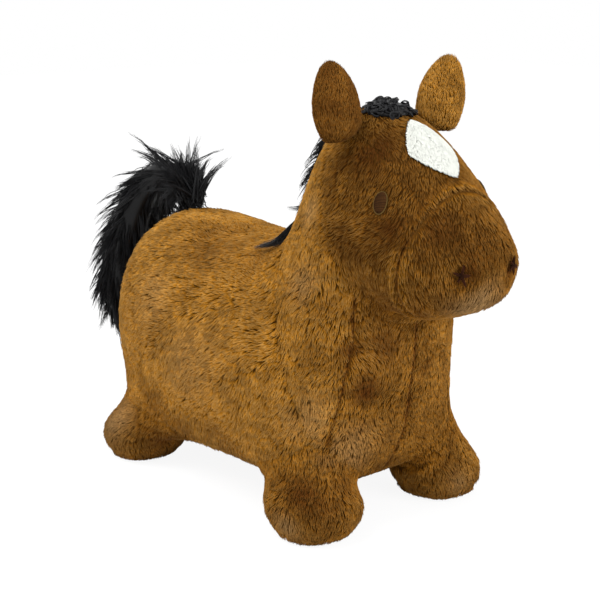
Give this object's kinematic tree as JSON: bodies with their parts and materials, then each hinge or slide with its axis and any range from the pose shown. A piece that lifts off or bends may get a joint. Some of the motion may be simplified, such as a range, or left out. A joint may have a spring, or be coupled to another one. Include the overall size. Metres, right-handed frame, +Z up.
{
  "type": "plush-covered inflatable hopping horse",
  "caption": "Bouncy ride-on horse: a hollow air-filled vinyl body inside a sewn plush cover, with ears to hold, a black mane and tail, and a zip and an air plug under the belly.",
  "frame": {"origin": "on the floor, under the middle of the whole horse with its tail", "axes": "+X forward towards the nose, +Y towards the horse's left, +Z up"},
  "size_m": [0.6648, 0.3062, 0.4945],
  "materials": {
    "plush": "golden brown mottled pile plush",
    "head_plush": "darker brown pile plush",
    "sole_fabric": "short brown pile",
    "vinyl": "moulded soft vinyl, satin",
    "plug_vinyl": "moulded vinyl",
    "tape": "woven zip tape",
    "zip_metal": "brown enamelled zip",
    "blaze_plush": "white short pile",
    "thread": "satin-stitched brown thread",
    "hair": "black long pile",
    "stuffing": "polyester wadding"
  },
  "bodies": {
    "root": {"side_panel_left": "plush", "side_panel_right": "plush", "neck_panel_left": "plush", "neck_panel_right": "plush", "belly_panel_left": "plush", "belly_panel_right": "plush", "chest_panel_left": "plush", "chest_panel_right": "plush", "rear_leg_cover_left": "plush", "rear_leg_cover_right": "plush", "front_leg_cover_left": "plush", "front_leg_cover_right": "plush", "chin_panel": "head_plush", "cheek_panel_left": "head_plush", "cheek_panel_right": "head_plush", "forehead_panel": "head_plush", "muzzle_panel": "head_plush", "rear_sole_left": "sole_fabric", "rear_sole_right": "sole_fabric", "front_sole_left": "sole_fabric", "front_sole_right": "sole_fabric", "bladder": "vinyl", "zip_tape_left": "tape", "zip_tape_right": "tape", "zip_teeth_left": "zip_metal", "zip_teeth_right": "zip_metal", "zip_stop_rear": "zip_metal", "zip_stop_front": "zip_metal", "blaze": "blaze_plush", "eye_left": "thread", "eye_right": "thread", "nostril_left": "thread", "nostril_right": "thread", "forelock": "hair", "mane": "hair"},
    "ear_left": {"ear_front_left": "head_plush", "ear_back_left": "head_plush", "ear_pad_left": "stuffing"},
    "ear_right": {"ear_front_right": "head_plush", "ear_back_right": "head_plush", "ear_pad_right": "stuffing"},
    "tail": {"tail": "hair"},
    "slider": {"zip_slider": "zip_metal"},
    "pull": {"zip_pull": "zip_metal"},
    "plug": {"valve_plug": "plug_vinyl"}
  },
  "joints": [
    {"name": "ear_left_bend", "type": "hinge", "parent": "root", "child": "ear_left", "pos_m": [0.18771, 0.06565, 0.42515], "axis": [0.1045, 0.9511, -0.2908], "range_deg": [-25, 25], "stiffness_Nm_per_rad": 0.1},
    {"name": "ear_right_bend", "type": "hinge", "parent": "root", "child": "ear_right", "pos_m": [0.18771, -0.06565, 0.42515], "axis": [-0.1045, 0.9511, 0.2908], "range_deg": [-25, 25], "stiffness_Nm_per_rad": 0.1},
    {"name": "tail_lift", "type": "hinge", "parent": "root", "child": "tail", "pos_m": [-0.17126, 0, 0.30232], "axis": [0, 1, 0], "range_deg": [0, 55]},
    {"name": "zip_slide", "type": "slide", "parent": "root", "child": "slider", "axis": [-1, 0, 0], "range_m": [0, 0.153]},
    {"name": "pull_swing", "type": "hinge", "parent": "slider", "child": "pull", "pos_m": [0.08841, 0, 0.01693], "axis": [0, 1, 0], "range_deg": [-60, 60]},
    {"name": "plug_pull", "type": "slide", "parent": "root", "child": "plug", "axis": [0, 0, -1], "range_m": [0, 0.009]}
  ]
}
